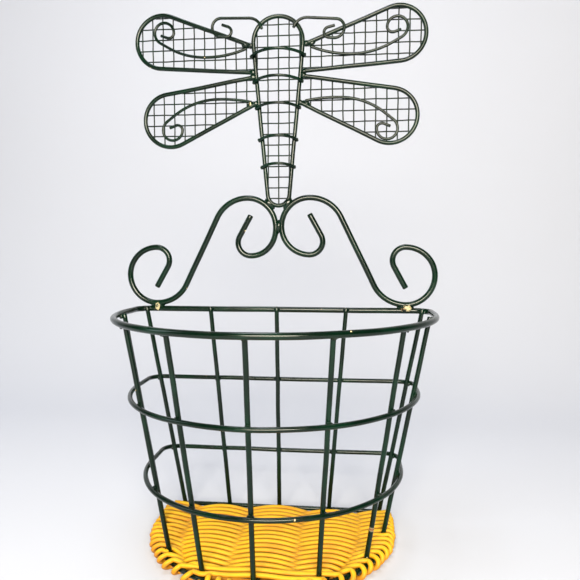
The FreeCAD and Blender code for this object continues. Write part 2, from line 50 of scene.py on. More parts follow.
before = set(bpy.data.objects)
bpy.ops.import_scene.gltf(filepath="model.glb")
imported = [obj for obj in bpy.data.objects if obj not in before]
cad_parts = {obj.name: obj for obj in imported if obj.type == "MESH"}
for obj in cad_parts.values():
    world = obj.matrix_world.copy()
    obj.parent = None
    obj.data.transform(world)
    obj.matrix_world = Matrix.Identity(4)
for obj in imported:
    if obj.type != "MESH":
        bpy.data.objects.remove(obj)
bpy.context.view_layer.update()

MM = 0.001
WELD_GAP = 0.15         # film of weld metal between two rods
SIDES = {"left": -1, "right": 1}
LEVELS = ("rim", "middle_hoop", "lower_hoop", "base_hoop")
ACROSS = Vector((1, 0, 0))
BACKWARD = Vector((0, 1, 0))
UP = Vector((0, 0, 1))


# ---------------------------------------------------------------- settings
class BasketRods(bpy.types.PropertyGroup):
    """Sizes of the rod and wire."""

    rim_rod: FloatProperty(
        name="Rim rod", description="Thickness of the rim and the scrolls", default=0.0034, unit="LENGTH")
    cage_rod: FloatProperty(
        name="Cage rod", description="Thickness of the hoops and the upright bars", default=0.0026,
        unit="LENGTH")
    rib_rod: FloatProperty(
        name="Rib rod", description="Thickness of the ribs in the floor", default=0.0026, unit="LENGTH")
    outline_rod: FloatProperty(
        name="Outline rod", description="Thickness of the dragonfly's outlines", default=0.0025,
        unit="LENGTH")
    trim_rod: FloatProperty(
        name="Trim rod", description="Thickness of swirls, antennae and bands", default=0.0017, unit="LENGTH")
    mesh_wire: FloatProperty(
        name="Mesh wire", description="Thickness of the wire in the mesh", default=0.0008, unit="LENGTH")
    mesh_pitch: FloatProperty(
        name="Mesh pitch", description="Distance between wires of the mesh", default=0.00635, unit="LENGTH")
    hand_bend: FloatProperty(
        name="Hand bending", description="How far a hand-bent rod wanders from its line", default=0.00018,
        unit="LENGTH")


class BasketReed(bpy.types.PropertyGroup):
    """Sizes and colours of the woven floor."""

    reed: FloatProperty(
        name="Reed", description="Thickness of the round reed", default=0.0023, unit="LENGTH")
    row_pitch: FloatProperty(
        name="Row pitch", description="Distance between neighbouring rows", default=0.002375, unit="LENGTH")
    loop_slack: FloatProperty(
        name="Loop slack", description="How loosely a row turns round the hoop", default=0.0007,
        unit="LENGTH")
    straw: FloatVectorProperty(
        name="Straw", description="Main colour of the reed", subtype="COLOR", default=(0.70, 0.39, 0.005))
    # painted highlight: the colour given to the reed's tops that face up
    highlight_pale: FloatVectorProperty(
        name="Pale", description="Colour of the reed's worn top", subtype="COLOR",
        default=(0.76, 0.52, 0.022))
    amber: FloatVectorProperty(
        name="Amber", description="Colour of the stained reed", subtype="COLOR", default=(0.66, 0.28, 0.008))
    # painted shade: the colour given to the sides and to the stretches that lie low
    side_and_low_shade: FloatVectorProperty(
        name="Burnt", description="Colour of the sides and of the stretches that lie low", subtype="COLOR",
        default=(0.52, 0.19, 0.006))
    # painted shade: the colour given deep between the rows, under the reed
    crevice_shade: FloatVectorProperty(
        name="Crevice", description="Colour deep between the rows", subtype="COLOR",
        default=(0.16, 0.042, 0.004))


class BasketPaint(bpy.types.PropertyGroup):
    """Colours of the painted steel."""

    green: FloatVectorProperty(
        name="Green", description="Main colour of the paint", subtype="COLOR",
        default=(0.0006, 0.0068, 0.0028))
    thin_green: FloatVectorProperty(
        name="Thin green", description="Colour where the paint is thin", subtype="COLOR",
        default=(0.0009, 0.0150, 0.0062))
    cream: FloatVectorProperty(
        name="Cream", description="Colour of bare primer in the chips", subtype="COLOR",
        default=(0.72, 0.62, 0.36))
    rust: FloatVectorProperty(
        name="Rust", description="Colour of the rust spots", subtype="COLOR", default=(0.17, 0.045, 0.012))


class BasketStage(bpy.types.PropertyGroup):
    """Floor, lights and camera."""

    floor: FloatVectorProperty(
        name="Floor", description="Colour of the floor and backdrop", subtype="COLOR",
        default=(0.68, 0.70, 0.78))
    front_light: FloatProperty(
        name="Front light", description="Power of the light behind the camera", default=24.0)
    top_light: FloatProperty(
        name="Top light", description="Power of the light overhead", default=3.6)
    left_light: FloatProperty(
        name="Left light", description="Power of the light on the left", default=2.88)
    wall_light: FloatProperty(
        name="Wall light", description="Power of the light on the backdrop", default=2.0)
    lens: FloatProperty(
        name="Lens", description="Focal length of the camera in millimetres", default=36.68)


# ---------------------------------------------------------------- pieces made of swept rods and lumps
def frames_along(line, closed):
    """Tangent and a steady normal at each point of a line."""
    count = len(line)
    tangents = []
    for i in range(count):
        before = line[i - 1] if closed or i else line[0]
        after = line[(i + 1) % count] if closed or i < count - 1 else line[-1]
        tangents.append((after - before).normalized())
    start = tangents[0].orthogonal().normalized()
    normals = [start]
    for before, tangent in zip(tangents, tangents[1:]):
        moved = before.rotation_difference(tangent) @ normals[-1]
        normals.append((moved - tangent * moved.dot(tangent)).normalized())
    if closed:
        back = tangents[-1].rotation_difference(tangents[0]) @ normals[-1]
        slip = math.atan2(back.cross(start).dot(tangents[0]), back.dot(start))
        normals = [Matrix.Rotation(slip * i / count, 3, tangents[i]) @ n for i, n in enumerate(normals)]
    return tangents, normals


class Piece:
    """Collects the surfaces of one piece, in millimetres, and makes one mesh of them."""

    end_ease = 0.14         # how far back a cut end is eased, as a share of the rod's thickness
    end_face = 0.82         # width of an eased end's face, as a share of the rod
    lump_rings = 9
    lump_sides = 14
    uv_unit = 100.0         # length of rod for one unit of the texture's map

    def __init__(self, name):
        self.name = name
        self.points = []
        self.faces = []
        self.corners = []      # along and round the rod, one pair for each face corner
        self.tones = []        # one number for each point, from 0 to 1

    def rod(self, line, thick, sides=12, closed=False, tone=0.5, spread=1.0):
        """Sweeps a round section along points, wider on the level by spread; open ends are cut and eased.

        A list gives each point its tone.
        """
        line = [Vector(point) for point in line]
        tangents, normals = frames_along(line, closed)
        tones = tone if isinstance(tone, list) else [tone] * len(line)
        rings = [(*ring, thick / 2) for ring in zip(line, tangents, normals)]
        if not closed:
            ease = min(thick * self.end_ease, (line[1] - line[0]).length * 0.4)
            first, last = [(*ring[:3], ring[3] * self.end_face) for ring in (rings[0], rings[-1])]
            rings[0] = (line[0] + tangents[0] * ease, *rings[0][1:])
            rings[-1] = (line[-1] - tangents[-1] * ease, *rings[-1][1:])
            rings = [first, *rings, last]
            tones = [tones[0], *tones, tones[-1]]
        base = len(self.points)
        marks = [0.0]
        for before, after in zip(rings, rings[1:] + rings[:1]):
            marks.append(marks[-1] + (after[0] - before[0]).length)
        for (point, tangent, normal, radius), shade in zip(rings, tones):
            side = tangent.cross(normal)
            for k in range(sides):
                angle = 2 * math.pi * k / sides
                offset = (normal * math.cos(angle) + side * math.sin(angle)) * radius
                self.points.append(point + Vector((offset.x * spread, offset.y * spread, offset.z)))
                self.tones.append(shade)
        for i in range(len(rings) if closed else len(rings) - 1):
            near = base + i * sides
            far = base + (i + 1) % len(rings) * sides
            start, end = marks[i:i + 2]
            for k in range(sides):
                n = (k + 1) % sides
                self.faces.append((near + k, near + n, far + n, far + k))
                low, high = k / sides, (k + 1) / sides
                self.corners += [(start, low), (start, high), (end, high), (end, low)]
        if not closed:
            last_ring = base + (len(rings) - 1) * sides
            self.faces.append(tuple(reversed(range(base, base + sides))))
            self.faces.append(tuple(range(last_ring, last_ring + sides)))
            self.corners += [(0.0, 0.5)] * sides + [(marks[-2], 0.5)] * sides

    def lump(self, centre, sizes, seed, rough=0.3, tone=0.5, axes=(ACROSS, BACKWARD, UP)):
        """Blob of weld metal with half sizes along three axes."""
        axes = [axis * size for axis, size in zip(axes, sizes)]
        drift = Vector((seed * 7.31, seed * 3.17, seed * 1.93))
        rings, sides = self.lump_rings, self.lump_sides
        directions = [UP]
        for i in range(1, rings):
            polar = math.pi * i / rings
            for k in range(sides):
                turn = 2 * math.pi * k / sides
                level = math.sin(polar)
                directions.append(Vector((level * math.cos(turn), level * math.sin(turn), math.cos(polar))))
        directions.append(-UP)
        base = len(self.points)
        for direction in directions:
            swell = noise.noise(direction * 1.7 + drift) + 0.45 * noise.noise(direction * 4.3 + drift)
            offset = sum((axis * share for axis, share in zip(axes, direction)), Vector())
            self.points.append(centre + offset * (1 + rough * swell))
            self.tones.append(tone)
        last = len(self.points) - 1
        faces = []
        for k in range(sides):
            n = (k + 1) % sides
            faces.append((base, base + 1 + k, base + 1 + n))
            for ring in range(base + 1, last - sides, sides):
                faces.append((ring + k, ring + sides + k, ring + sides + n, ring + n))
            faces.append((last, last - sides + n, last - sides + k))
        if axes[0].cross(axes[1]).dot(axes[2]) < 0:
            faces = [face[::-1] for face in faces]
        self.faces += faces
        self.corners += [(0, 0)] * sum(len(face) for face in faces)

    def finish(self, finish_name, replaced=()):
        """Makes the mesh, rides it on the frame and gives it its finish."""
        data = bpy.data.meshes.new(self.name)
        data.from_pydata([point * MM for point in self.points], [], self.faces)
        layer = data.uv_layers.new(name="AlongRod")
        for loop, (along, around) in zip(layer.data, self.corners):
            loop.uv = (along / self.uv_unit, around)
        tone = data.attributes.new("tone", "FLOAT", "POINT")
        tone.data.foreach_set("value", self.tones)
        data.materials.append(finish_named(finish_name))
        data.polygons.foreach_set("use_smooth", [len(face) < 5 for face in self.faces])
        data.update()
        piece = bpy.data.objects.new(self.name, data)
        bpy.context.scene.collection.objects.link(piece)
        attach(piece, "root")
        if replaced:
            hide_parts(*replaced)


def painted_rod(node, line, thick, sides, finish_name="rod_paint", **shape):
    """One painted rod in place of a node of the frame."""
    piece = Piece(f"{node}.rod")
    piece.rod(line, thick, sides, **shape)
    piece.finish(finish_name, [node])


# ---------------------------------------------------------------- laying out rods
def heading(degrees):
    return Vector((math.cos(math.radians(degrees)), 0, math.sin(math.radians(degrees))))


def heading_of(line):
    return math.degrees(math.atan2(line.z, line.x))


def straight(start, end, steps):
    return [start.lerp(end, n / steps) for n in range(steps + 1)]


def arc(centre, radius, degrees, turn, steps):
    """Points of an arc in a plane parallel to the back, from one heading on by a turn."""
    return [centre + heading(degrees + turn * n / steps) * radius for n in range(steps + 1)]


def run(length):
    return length, 0.0


def bend(radius, turn):
    return radius, turn


def bent_line(start, degrees, moves, spacing=1.0):
    """Points along runs and bends in a plane parallel to the back."""
    point = Vector(start)
    line = [point]
    for size, turn in moves:
        if turn:
            side = math.copysign(90, turn)
            steps = max(3, round(math.radians(abs(turn)) * size / spacing), round(abs(turn) / 9))
            line += arc(point + heading(degrees + side) * size, size, degrees - side, turn, steps)[1:]
            degrees += turn
        else:
            steps = max(1, round(size / spacing / 2))
            line += straight(point, point + heading(degrees) * size, steps)[1:]
        point = line[-1]
    return line


def by_hand(line, seed, keep_ends=True):
    """Lets a line wander a little, as rod bent by hand does."""
    amount = bpy.context.scene.basket_rods.hand_bend / MM
    steady = 6              # points at each end over which the wandering dies away
    waves = 0.045           # to a millimetre of rod
    drift = Vector((seed * 11.3, seed * 5.7, seed * 2.9))
    noise.seed_set(1)       # without this, noise_vector takes its offsets from the clock
    moved = []
    for n, point in enumerate(line):
        ease = min(1.0, n / steady, (len(line) - 1 - n) / steady) if keep_ends else 1.0
        moved.append(point + noise.noise_vector(point * waves + drift) * amount * ease)
    return moved


def mirrored(line):
    return [Vector((-point.x, point.y, point.z)) for point in line]


def on_side(line, side):
    return line if side == "right" else mirrored(line)


def node_box(name):
    low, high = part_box(name)
    return low / MM, high / MM


def middle_of(name):
    low, high = node_box(name)
    return (low + high) / 2


def flat_share(sides):
    """From a polygon's middle to its flat, as a share of the radius of a circle of the same area."""
    step = 2 * math.pi / sides
    return math.sqrt(step / math.sin(step)) * math.cos(step / 2)


class Cage:
    """Lines of the D-shaped hoops and of the bars that stand inside them."""

    corner_bend = 5.5
    front_step = 27.3       # degrees between the bars of the round front
    front_rise = 0.4        # of a front bar's end above the middle of the rim
    right_lean = 2.4        # how far the rim's right end stands out
    spacing = 1.5           # between the points of a hoop
    slides = {              # how far a bar stands to the right of its even place, at its top and its foot
        "front_bar_2": (1.0, 2.2),
        "front_bar_3": (-0.6, 1.5),
        "front_bar_4": (-1.0, -1.0),
        "front_bar_5": (-2.5, 0.9),
        "front_bar_6": (-1.4, 2.8),
        "front_bar_7": (0.4, 1.2),
        "corner_bar_left": (1.8, 2.8),
        "back_bar_left": (-0.8, 0.1),
        "back_bar_middle": (-0.8, 0.6),
        "back_bar_right": (-0.4, 0.6),
    }
    rust = ("front_bar_6", 23.0, 2.0)       # bar with a rust spot, the spot's height and its reach each way

    def __init__(self):
        rods = bpy.context.scene.basket_rods
        self.rim_rod = rods.rim_rod / MM
        self.rod = rods.cage_rod / MM
        self.heights = {name: middle_of(name).z for name in LEVELS}
        self.rim_offset = (self.rim_rod + self.rod) / 2 + WELD_GAP
        self.hoop_offset = self.rod + WELD_GAP
        hoop_reach = self.hoop_offset + self.rod / 2 * flat_share(6)
        rim_reach = self.rim_offset + self.rim_rod / 2 * flat_share(8)
        base_low, base_high = node_box("base_hoop")
        rim_low, rim_high = node_box("rim")
        self.back = base_high.y - hoop_reach
        self.base = (base_high.x - hoop_reach, base_low.y + hoop_reach)
        self.top = (rim_high.x - rim_reach, rim_low.y + rim_reach)
        self.foot, self.crown = [corner.z for corner in node_box("back_bar_middle")]

    def level(self, height):
        """0 at the base hoop and 1 at the rim."""
        return (height - self.heights["base_hoop"]) / (self.heights["rim"] - self.heights["base_hoop"])

    def size(self, height):
        """Half width and front of the D on which the bars stand."""
        return [low + (high - low) * self.level(height) for low, high in zip(self.base, self.top)]

    def offset(self, level):
        """From that D to the middle of a hoop."""
        return self.rim_offset if level == "rim" else self.hoop_offset

    def leaned(self, point):
        """Moves a point of the right side out, more so higher up."""
        share = self.level(point.z) * max(0.0, point.x / self.top[0]) ** 2
        return point + ACROSS * (self.right_lean * share)

    def hoop_line(self, name):
        """Closed D: flat back, two small bends, straight sides and a half-round front."""
        height, offset = self.heights[name], self.offset(name)
        half, front = self.size(height)
        half += offset
        front -= offset
        back = self.back + offset
        radius = self.corner_bend + offset
        round_centre = front + half
        along = back - radius - round_centre
        steps = int((half - radius) / self.spacing)
        right = [Vector((n * self.spacing, back, height)) for n in range(steps + 1)]
        for n in range(13):
            angle = math.radians(90 - 7.5 * n)
            out = Vector((math.cos(angle), math.sin(angle), 0)) * radius
            right.append(Vector((half - radius, back - radius, height)) + out)
        steps = max(1, int(along / self.spacing))
        right += [Vector((half, back - radius - along * n / steps, height)) for n in range(1, steps)]
        steps = int(half * math.pi / 2 / self.spacing)
        for n in range(steps):
            angle = math.pi / 2 * n / steps
            right.append(Vector((half * math.cos(angle), round_centre - half * math.sin(angle), height)))
        right.append(Vector((0, front, height)))
        return [self.leaned(point) for point in right + mirrored(right[-2:0:-1])]

    def front_bar(self, place, height, slide):
        half, front = self.size(height)
        angle = math.radians(place * self.front_step) + slide / half
        return Vector((half * math.sin(angle), front + half - half * math.cos(angle), height))

    def corner_bar(self, side, height, slide):
        out = self.size(height)[0] - self.corner_bend
        centre = Vector((side * out, self.back - self.corner_bend, height))
        angle = math.radians(45) - side * slide / self.corner_bend
        return centre + Vector((side * math.cos(angle), math.sin(angle), 0)) * self.corner_bend

    def back_bar(self, side, height, slide):
        low, high = node_box("back_bar_right")
        share = (height - self.foot) / (self.crown - self.foot)
        out = low.x + self.rod / 2 + (high.x - low.x - self.rod) * share
        return Vector((side * out + slide, self.back, height))

    def bars(self):
        """Name and line of each upright bar, from its foot up."""
        makers = {f"front_bar_{n + 1}": (self.front_bar, n - 3) for n in range(7)}
        makers.update({f"corner_bar_{name}": (self.corner_bar, side) for name, side in SIDES.items()})
        back_bars = (("left", -1), ("middle", 0), ("right", 1))
        makers.update({f"back_bar_{name}": (self.back_bar, side) for name, side in back_bars})
        lines = {}
        for name, (maker, place) in makers.items():
            top_slide, foot_slide = self.slides.get(name, (0, 0))
            top = self.heights["rim"] + self.front_rise if name.startswith("front") else self.crown
            ends = maker(place, self.foot, foot_slide), maker(place, top, top_slide)
            lines[name] = straight(*[self.leaned(end) for end in ends], 44)
        return lines


class Dragonfly:
    """Lines of the scrolls, the dragonfly's body and its wings, in the plane of the back.

    Heights of wings, bands, antennae and mesh are taken from the middle of the head's bend.
    """

    head_radius = 14.7
    tail_radius = 6.5
    length = 88.7
    scroll_start = -61
    scroll_moves = (
        run(14.5), bend(7.8, -119), bend(17.0, -180), bend(20.5, -64), run(45.0),
        bend(20.5, 64), bend(17.0, 180), bend(7.8, 119), run(14.5))
    hook_move = Vector((1.9, 0, -0.6))
    hook_length = 62.0      # how much of the left scroll is moved, and over what length that fades
    hook_fade = 30.0
    wings = {               # heights of both roots, then the tip's place, height and radius
        "upper": (-2.2, -17.2, 69.8, 2.4, 15.5),
        "lower": (-19.6, -34.4, 65.3, -43.9, 15.7),
    }
    swirls = {              # first heading, then the moves
        "upper": (-21, (
            bend(65.0, 21), bend(48.0, 30), run(5.8), bend(6.8, 60), bend(5.85, 180), bend(3.1, 110),
            run(4.0))),
        "lower": (12, (
            bend(100.0, -12), bend(43.0, -37), run(6.3), bend(6.5, -53), bend(6.0, -180), bend(3.0, -110),
            run(4.2))),
    }
    swirl_start = 3.8       # from the wing's root
    antenna_start = (9.2, 7.0)
    antenna_moves = (
        run(1.4), bend(7.9, -68), run(16.5), bend(5.2, -92), bend(5.7, -90), run(2.7), bend(3.0, -160),
        run(4.0))
    droops = {"antenna_right": 7.0, "upper_swirl_right": 2.0, "lower_swirl_right": 2.0}
    band_drops = (8.2, 23.1, 38.3, 56.8, 72.8)
    band_angle = math.radians(55)       # from a band's crown to its end
    band_rise = 1.75
    mesh_rise = 10.8        # of the highest level wire in the body

    def __init__(self):
        rods = bpy.context.scene.basket_rods
        self.rim_rod = rods.rim_rod / MM
        self.rod = rods.outline_rod / MM
        self.trim = rods.trim_rod / MM
        self.seat = (self.rod + self.trim) / 2
        self.back = middle_of("scroll_right").y
        self.head = node_box("body_outline")[1].z - self.rod / 2 * flat_share(6) - self.head_radius
        self.taper = math.asin((self.head_radius - self.tail_radius) / self.length)
        self.mesh_front = self.back + self.rod / 2 + WELD_GAP

    def scroll(self, side):
        """Curl, long bend and curl; the left scroll's inner loop is bent smaller."""
        line = bent_line((0, self.back, 0), self.scroll_start, self.scroll_moves)
        corners = [Vector(pick(point[i] for point in line) for i in range(3)) for pick in (min, max)]
        shift = middle_of("scroll_right") - (corners[0] + corners[1]) / 2
        shift.y = 0
        line = on_side([point + shift for point in line], side)
        if side == "right":
            return line
        moved = []
        along = 0.0
        for before, point in zip([line[0], *line], line):
            along += (point - before).length
            share = min(1.0, max(0.0, (self.hook_length - along) / self.hook_fade))
            moved.append(point + self.hook_move * (share * share * (3 - 2 * share)))
        return moved

    def edge(self, height):
        """How far the body's rod is from the middle."""
        return (self.head_radius - (self.head - height) * math.sin(self.taper)) / math.cos(self.taper)

    def body(self):
        """Closed teardrop, from the left of the tail round it, up its right side, over the head and down."""
        tilt = math.degrees(self.taper)
        head = Vector((0, self.back, self.head))
        tail = arc(head - UP * self.length, self.tail_radius, 180 + tilt, 180 - 2 * tilt, 30)
        crown = arc(head, self.head_radius, -tilt, 180 + 2 * tilt, 44)
        return tail + straight(tail[-1], crown[0], 40)[1:-1] + crown + straight(crown[-1], tail[0], 40)[1:-1]

    def band(self, drop):
        """Arc bowed forward, from one front corner of the outline to the other."""
        height = self.head - drop
        angle = self.band_angle
        radius = (self.edge(height) + self.seat * math.sin(angle)) / math.sin(angle)
        plane = self.back - self.seat * math.cos(angle)
        line = []
        for n in range(-16, 17):
            turn = angle * n / 16
            forward = radius * (math.cos(turn) - math.cos(angle))
            rise = self.band_rise * (1 - (n / 16) ** 2)
            line.append(Vector((radius * math.sin(turn), plane - forward, height + rise)))
        return line

    def placed(self, line, name, side):
        """A line on its side of the body, turned about its start by as much as its own rod droops."""
        turn = Matrix.Rotation(math.radians(self.droops.get(f"{name}_{side}", 0.0)), 3, BACKWARD)
        return on_side([line[0] + turn @ (point - line[0]) for point in line], side)

    def antenna(self):
        across, height = self.antenna_start
        start = (across, self.back - self.seat - WELD_GAP, self.head + height)
        return bent_line(start, 70, self.antenna_moves, 0.7)

    def wing(self, name):
        """Tip circle of one wing, its ends on the body and its touching points, top ones first."""
        *heights, out, height, radius = self.wings[name]
        tip = Vector((out, self.back, self.head + height))
        roots = [Vector((self.edge(self.head + root), self.back, self.head + root)) for root in heights]
        touches = []
        for root, side in zip(roots, (1, -1)):
            line = tip - root
            spread = math.degrees(math.asin(radius / line.length))
            touches.append(tip + heading(heading_of(line) + side * (spread + 90)) * radius)
        return tip, radius, roots, touches

    def wing_line(self, name, inset=1.2):
        """Open line from the body along the top rod, round the tip and back."""
        tip, radius, roots, touches = self.wing(name)
        starts = [root + (touch - root).normalized() * inset for root, touch in zip(roots, touches)]
        first, last = [heading_of(touch - tip) for touch in touches]
        top = straight(starts[0], touches[0], 30)[:-1]
        return top + arc(tip, radius, first, last - first, 40) + straight(touches[1], starts[1], 30)[1:]

    def swirl(self, name):
        which, side = (0, 1) if name == "upper" else (1, -1)
        _, _, roots, touches = self.wing(name)
        along = (touches[which] - roots[which]).normalized()
        inward = Vector((along.z, 0, -along.x)) * side
        start = roots[which] + along * self.swirl_start + inward * (self.seat + WELD_GAP)
        start.y = self.mesh_front - self.trim / 2 - WELD_GAP
        return bent_line(start, *self.swirls[name], 0.8)


# ---------------------------------------------------------------- woven floor
class Weave:
    """One long reed, row after row over and under the ribs, turned round the base hoop at each end."""

    straight_span = 7.0     # a row runs straight past a rib that is closer than this to the hoop
    sag = 0.32              # how far a straight stretch sinks between its ends, as a share of its lift
    sway = 0.14             # how far a row lies off its place
    wander = 0.3            # how far a row wanders along its length
    spacing = 1.8           # between the points of a row
    spread = 1.2            # how much wider than high pressed reed is
    lashing_pitch = 4.95    # between the turns that bind the front of the hoop
    turn_points = 16        # in each of those turns
    reed_gap = 0.05         # between the reed and the rod that it passes
    front_slack = 2.6       # how much looser the turns round the front are

    def __init__(self, cage):
        sizes = bpy.context.scene.basket_reed
        self.cage = cage
        self.reed = sizes.reed / MM
        self.pitch = sizes.row_pitch / MM
        self.slack = sizes.loop_slack / MM
        self.level = cage.heights["base_hoop"]
        self.lift = (cage.rod + self.reed) / 2 + self.reed_gap
        self.ribs = [middle_of(f"floor_rib_{n}").x for n in ("left", "middle", "right")]
        half, front = cage.size(self.level)
        self.half = half + cage.hoop_offset
        self.front = front - cage.hoop_offset
        self.back_row = node_box("woven_floor")[1].y - self.reed / 2
        reach = self.back_row + self.reed / 2 - self.front - cage.rod / 2
        self.rows = 2 * int(reach / (2 * self.pitch))
        self.feet = [line[0] for line in cage.bars().values()]
        self.rng = random.Random(41)

    def past_feet(self, point):
        """Moves a point of a row off the bars' feet, to the side of the bar that it is on."""
        clear = (self.cage.rod + self.reed) / 2
        for foot in self.feet:
            across = (point.x - foot.x) / clear
            if point.z > self.level - self.reed / 2 and abs(across) < 2:
                need = clear * math.cos(math.pi / 4 * across)
                aside = point.y - foot.y
                if abs(aside) < need:
                    point.y = foot.y + math.copysign(need, aside)
        return point

    def hoop_at(self, depth):
        """Where the right side of the hoop is at this depth, and its outward direction there."""
        back = self.cage.back + self.cage.hoop_offset
        radius = self.cage.corner_bend + self.cage.hoop_offset
        round_centre = self.front + self.half
        if depth < round_centre:
            lift = round_centre - depth
            out = math.sqrt(max(self.half ** 2 - lift ** 2, 0))
            return Vector((out, depth, self.level)), Vector((out, -lift, 0)).normalized()
        if depth > back - radius:
            lift = min(depth - back + radius, radius)
            out = math.sqrt(radius ** 2 - lift ** 2)
            return Vector((self.half - radius + out, depth, self.level)), Vector((out, lift, 0)).normalized()
        return Vector((self.half, depth, self.level)), ACROSS

    def depth(self, number):
        return self.back_row - number * self.pitch

    def stops(self, number):
        """Places from left to right where a row goes over or under the hoop and the ribs."""
        side = 1 if number % 2 == 0 else -1
        end = self.hoop_at(self.depth(number))[0].x
        places = [(-end, side), (self.ribs[1], side), (end, side)]
        if end - self.cage.rod / 2 - self.ribs[2] > self.straight_span:
            places[1:2] = [(self.ribs[0], -side), (self.ribs[1], side), (self.ribs[2], -side)]
        return places

    def row(self, number, towards):
        """Points of one row, without its turns."""
        places = self.stops(number)[::towards]
        sway = self.rng.uniform(-self.sway, self.sway)
        line = []
        for (x0, side0), (x1, side1) in zip(places, places[1:]):
            steps = max(4, round(abs(x1 - x0) / self.spacing))
            for n in range(steps):
                share = n / steps
                x = x0 + (x1 - x0) * share
                rise = side0 + (side1 - side0) * (0.5 - 0.5 * math.cos(math.pi * share))
                if side0 == side1:
                    rise -= side0 * self.sag * math.sin(math.pi * share) ** 2
                aside = sway + self.wander * noise.noise(Vector((x * 0.05, number * 3.1, 0)))
                point = Vector((x, self.depth(number) + aside, self.level + self.lift * rise))
                line.append(self.past_feet(point))
        return line

    def turn(self, number, towards):
        """Points from the end of one row round the outside of the hoop to the start of the next."""
        here, outward = self.hoop_at(self.depth(number))
        there = self.hoop_at(self.depth(number + 1))[0]
        loose = 1 + self.front_slack * max(0.0, -outward.y)
        reach = self.lift + self.slack * self.rng.uniform(0.2, 1.0) * loose
        line = []
        for degrees in range(0, 166, 15):
            angle = math.radians(degrees)
            centre = here.lerp(there, 0.5 - 0.5 * math.cos(angle))
            rise = UP * (self.lift * math.cos(angle) * towards)
            line.append(centre + outward * (reach * math.sin(angle)) + rise)
        return line if towards == 1 else mirrored(line)

    def lashing(self):
        """Points of the turns that bind the reed's end round the front of the hoop."""
        end = self.hoop_at(self.depth(self.rows - 1))[0].x
        angle = math.asin(end / self.half)
        count = 2 * int(angle * self.half / self.lashing_pitch) * self.turn_points
        centre = Vector((0, self.front + self.half, self.level))
        line = []
        for n in range(count + 1):
            place = angle * (2 * n / count - 1)
            outward = Vector((math.sin(place), -math.cos(place), 0))
            coil = 2 * math.pi * n / self.turn_points
            offset = outward * math.cos(coil) - UP * math.sin(coil)
            line.append(centre + outward * self.half + offset * self.lift)
        return line

    def reed_line(self):
        """Points of the whole reed."""
        line = []
        for number in range(self.rows):
            towards = 1 if number % 2 == 0 else -1
            line += self.row(number, towards)
            if number < self.rows - 1:
                line += self.turn(number, towards)
        return line + self.lashing()


# ---------------------------------------------------------------- shader groups
class Nodes:
    """Short ways to add and join nodes in one tree."""

    def __init__(self, tree):
        self.tree = tree

    def feed(self, node, inputs):
        """Gives inputs, by name or number, a plain value or the output of another node."""
        for key, value in inputs.items():
            if isinstance(value, bpy.types.NodeSocket):
                self.tree.links.new(value, node.inputs[key])
            else:
                node.inputs[key].default_value = value

    def add(self, kind, inputs=None, **values):
        """Adds a node with its own values and feeds its inputs."""
        node = self.tree.nodes.new(kind if kind.startswith("Node") else f"ShaderNode{kind}")
        for key, value in values.items():
            setattr(node, key, value)
        self.feed(node, inputs or {})
        return node

    def math(self, operation, first, second):
        return self.add("Math", {0: first, 1: second}, operation=operation).outputs[0]

    def mix(self, share, first, second):
        return self.add("Mix", {0: share, 6: first, 7: second}, data_type="RGBA").outputs[2]

    def ramp(self, value, low, high):
        """0 below low and 1 above high."""
        inputs = {"Value": value, "From Min": low, "From Max": high}
        return self.add("MapRange", inputs, interpolation_type="SMOOTHSTEP").outputs[0]

    def fall(self, value, low, high):
        """1 below low and 0 above high."""
        return self.math("SUBTRACT", 1.0, self.ramp(value, low, high))

    def noise(self, vector, scale, detail=2.0, rough=0.5):
        inputs = {"Vector": vector, "Scale": scale, "Detail": detail, "Roughness": rough}
        return self.add("TexNoise", inputs).outputs["Fac"]

    def scaled(self, vector, scale):
        return self.add("Mapping", {"Vector": vector, "Scale": scale}).outputs["Vector"]

    def facing_up(self):
        """1 where the surface faces up and -1 where it faces down."""
        normal = self.add("NewGeometry").outputs["Normal"]
        return self.add("SeparateXYZ", {"Vector": normal}).outputs["Z"]

    def bump(self, height, strength, distance):
        inputs = {"Height": height, "Strength": strength, "Distance": distance}
        return self.add("Bump", inputs).outputs["Normal"]

    def tone(self):
        """The number that a piece gives each of its points."""
        return self.add("Attribute", attribute_name="tone").outputs["Fac"]


def new_group(name, inputs, outputs):
    """Node group with named inputs (kind, name, default) and outputs (kind, name), and its end nodes."""
    group = bpy.data.node_groups.new(name, "ShaderNodeTree")
    for kind, label, default in inputs:
        socket = group.interface.new_socket(name=label, in_out="INPUT", socket_type=f"NodeSocket{kind}")
        socket.default_value = default
    for kind, label in outputs:
        group.interface.new_socket(name=label, in_out="OUTPUT", socket_type=f"NodeSocket{kind}")
    n = Nodes(group)
    return n, n.add("NodeGroupInput").outputs, n.add("NodeGroupOutput")


